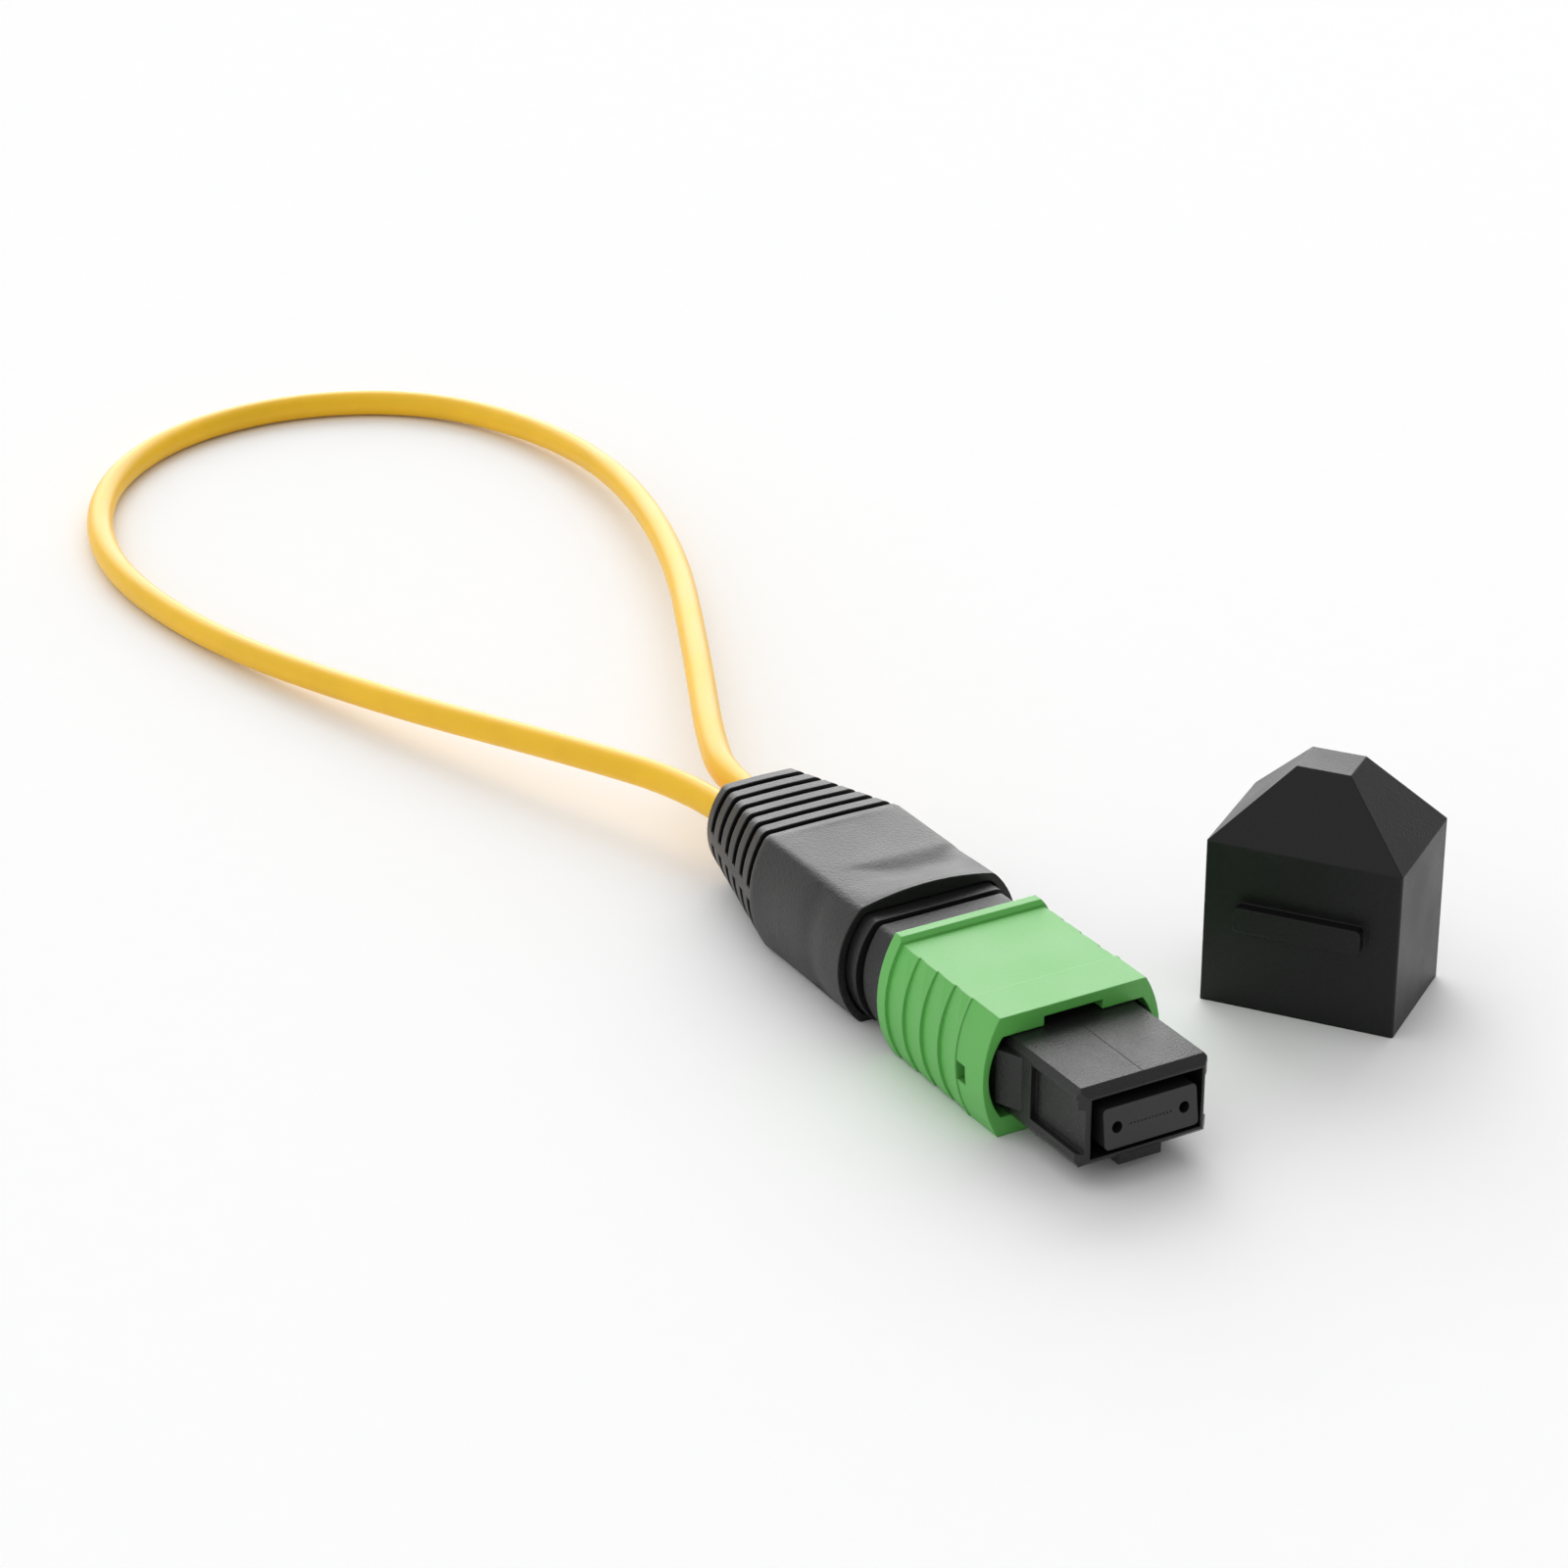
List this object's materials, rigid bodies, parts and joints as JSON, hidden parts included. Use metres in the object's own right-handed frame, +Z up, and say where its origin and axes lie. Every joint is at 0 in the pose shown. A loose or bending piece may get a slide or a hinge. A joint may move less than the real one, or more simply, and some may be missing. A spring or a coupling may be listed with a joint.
{
  "type": "fibre loopback plug",
  "caption": "push-pull multi-fibre loopback plug with an angled ferrule, a sprung coupling, a slotted boot and one looped cable, beside its dust cap",
  "frame": {"origin": "where the plug's axis meets the ferrule's face, 3.9 mm above the surface that the plug lies on", "axes": "+X forward along the plug's axis, out of the ferrule's face; +Z up; +Y to the plug's left"},
  "size_m": [0.1378, 0.048, 0.0154],
  "materials": {
    "boot_rubber": "matt black moulded elastomer",
    "green_plastic": "satin green moulded plastic",
    "black_plastic": "satin black moulded plastic",
    "ferrule_plastic": "dark filled thermoplastic with a polished face",
    "epoxy": "cured amber adhesive",
    "black_rubber": "black rubber",
    "ribbon_coating": "clear coated fibres",
    "spring_steel": "drawn spring wire",
    "aramid": "pale gold aramid yarn",
    "crimp_metal": "plain crimped metal",
    "cable_jacket": "satin yellow cable jacket",
    "cap_plastic": "satin black moulded plastic"
  },
  "bodies": {
    "body": {"boot": "boot_rubber", "inner_housing": "black_plastic", "spring_push": "black_plastic", "crimp_ring": "crimp_metal", "strength_yarn_left": "aramid", "strength_yarn_right": "aramid", "main_spring": "spring_steel", "coupling_spring_left": "spring_steel", "coupling_spring_right": "spring_steel", "fibre_bundle_left": "ribbon_coating", "fibre_bundle_right": "ribbon_coating", "fibre_cable": "cable_jacket", "dust_cap": "cap_plastic"},
    "coupling": {"coupling": "green_plastic"},
    "ferrule": {"mt_ferrule": "ferrule_plastic", "window_epoxy": "epoxy", "ferrule_boot": "black_rubber", "pin_keeper": "black_plastic", "fibre_ribbon": "ribbon_coating", "ribbon_sleeve": "black_rubber"}
  },
  "joints": [
    {"name": "coupling_slide", "type": "slide", "parent": "body", "child": "coupling", "axis": [-1, 0, 0], "range_m": [0, 0.002], "stiffness_N_per_m": 1000, "springref_m": -0.001, "deforming": ["coupling_spring_left", "coupling_spring_right"]},
    {"name": "ferrule_float", "type": "slide", "parent": "body", "child": "ferrule", "axis": [-1, 0, 0], "range_m": [0, 0.0008], "stiffness_N_per_m": 1000, "springref_m": -0.002, "deforming": ["main_spring", "fibre_bundle_left", "fibre_bundle_right"]}
  ]
}
